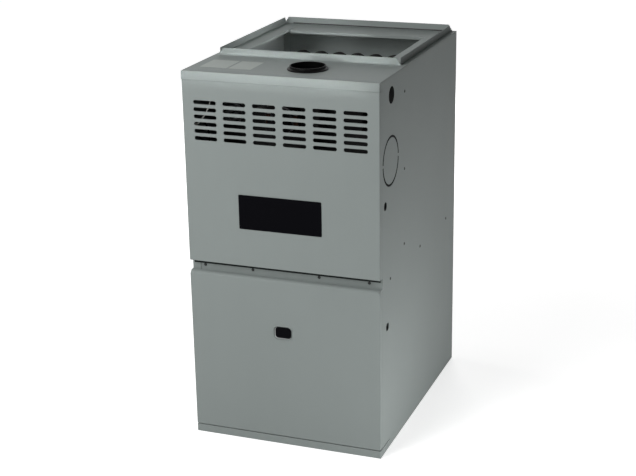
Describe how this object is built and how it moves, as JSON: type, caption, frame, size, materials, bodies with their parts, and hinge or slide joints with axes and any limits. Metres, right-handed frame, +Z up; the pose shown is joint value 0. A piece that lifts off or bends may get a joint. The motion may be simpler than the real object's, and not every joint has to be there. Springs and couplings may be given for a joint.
{
  "type": "forced_air_gas_furnace",
  "caption": "Upflow forced air gas furnace: painted steel cabinet with louvred burner door, blower door, vent collar, tubular heat exchanger, draft inducer and blower",
  "frame": {"origin": "on the floor, under the middle of the casing", "axes": "+X to the right across the front, +Y from the doors to the back, +Z up"},
  "size_m": [0.5358, 0.7112, 1.035],
  "materials": {
    "casing_paint": "baked enamel, semi gloss",
    "galvanised_sheet": "galvanised, dull",
    "aluminised_steel": "aluminised, dull",
    "black_paint": "semi gloss",
    "black_plastic": "gloss",
    "cast_valve": "die cast",
    "shaft_steel": "ground",
    "ceramic": "unglazed ceramic",
    "grey_plastic": "moulded",
    "hose_rubber": "satin",
    "wire_insulation": "satin",
    "dark_lens": "polished, smoked",
    "white_plastic": "moulded",
    "circuit_board": "lacquered"
  },
  "bodies": {
    "casing": {"left_side_panel": "casing_paint", "right_side_panel": "casing_paint", "back_panel": "casing_paint", "casing_screws": "galvanised_sheet", "top_cap": "casing_paint", "supply_flanges": "casing_paint", "base_pan": "galvanised_sheet", "base_front_rail": "casing_paint", "centre_rail": "casing_paint", "blower_deck": "galvanised_sheet", "vestibule_panel": "galvanised_sheet", "vent_collar": "black_plastic", "heat_exchanger_tube_1": "aluminised_steel", "heat_exchanger_tube_2": "aluminised_steel", "heat_exchanger_tube_3": "aluminised_steel", "heat_exchanger_tube_4": "aluminised_steel", "heat_exchanger_tube_5": "aluminised_steel", "heat_exchanger_tube_6": "aluminised_steel", "flue_collector_box": "aluminised_steel", "inducer_housing": "aluminised_steel", "inducer_motor": "black_paint", "gas_manifold": "black_paint", "burner_1": "aluminised_steel", "burner_2": "aluminised_steel", "burner_3": "aluminised_steel", "burner_4": "aluminised_steel", "burner_5": "aluminised_steel", "burner_6": "aluminised_steel", "burner_bracket": "galvanised_sheet", "gas_valve": "cast_valve", "igniter_and_flame_sensor": "ceramic", "thermal_switches": "black_plastic", "pressure_switch": "grey_plastic", "pressure_hose": "hose_rubber", "wire_harness": "wire_insulation", "door_switch": "black_plastic", "blower_scroll": "galvanised_sheet", "blower_side_left": "galvanised_sheet", "blower_side_right": "galvanised_sheet", "blower_motor": "black_paint", "motor_bracket": "galvanised_sheet", "capacitor": "galvanised_sheet", "control_board": "circuit_board", "control_plate": "galvanised_sheet", "transformer": "black_paint", "junction_box": "galvanised_sheet"},
    "burner_door": {"burner_door": "casing_paint", "badge_plate": "black_paint"},
    "blower_door": {"blower_door": "casing_paint", "sight_glass": "dark_lens", "door_switch_tab": "galvanised_sheet"},
    "door_switch_plunger": {"door_switch_plunger": "white_plastic"},
    "blower_rotor": {"blower_wheel_plate": "galvanised_sheet", "blower_wheel_left": "galvanised_sheet", "blower_wheel_right": "galvanised_sheet", "blower_shaft": "shaft_steel"},
    "inducer_rotor": {"inducer_shaft": "shaft_steel", "inducer_wheel": "galvanised_sheet", "inducer_cooling_fan": "black_plastic"},
    "gas_valve_knob": {"gas_valve_knob": "black_plastic"}
  },
  "joints": [
    {"name": "burner_door_pull", "type": "slide", "parent": "casing", "child": "burner_door", "axis": [0, -1, 0], "range_m": [0, 0.3]},
    {"name": "blower_door_pull", "type": "slide", "parent": "casing", "child": "blower_door", "axis": [0, -1, 0], "range_m": [0, 0.3]},
    {"name": "door_switch_travel", "type": "slide", "parent": "casing", "child": "door_switch_plunger", "axis": [0, -1, 0], "range_m": [0, 0.006]},
    {"name": "blower_spin", "type": "hinge", "parent": "casing", "child": "blower_rotor", "pos_m": [0, 0.0606, 0.235], "axis": [1, 0, 0], "continuous": true},
    {"name": "inducer_spin", "type": "hinge", "parent": "casing", "child": "inducer_rotor", "pos_m": [-0.015, -0.25, 0.888], "axis": [0, 1, 0], "continuous": true},
    {"name": "gas_cock_turn", "type": "hinge", "parent": "casing", "child": "gas_valve_knob", "pos_m": [0.2107, -0.315, 0.702], "axis": [0, 1, 0], "range_deg": [0, 90]}
  ],
  "couplings": [
    {"joint": "door_switch_travel", "follows": "blower_door_pull", "ratio": 0.02}
  ]
}
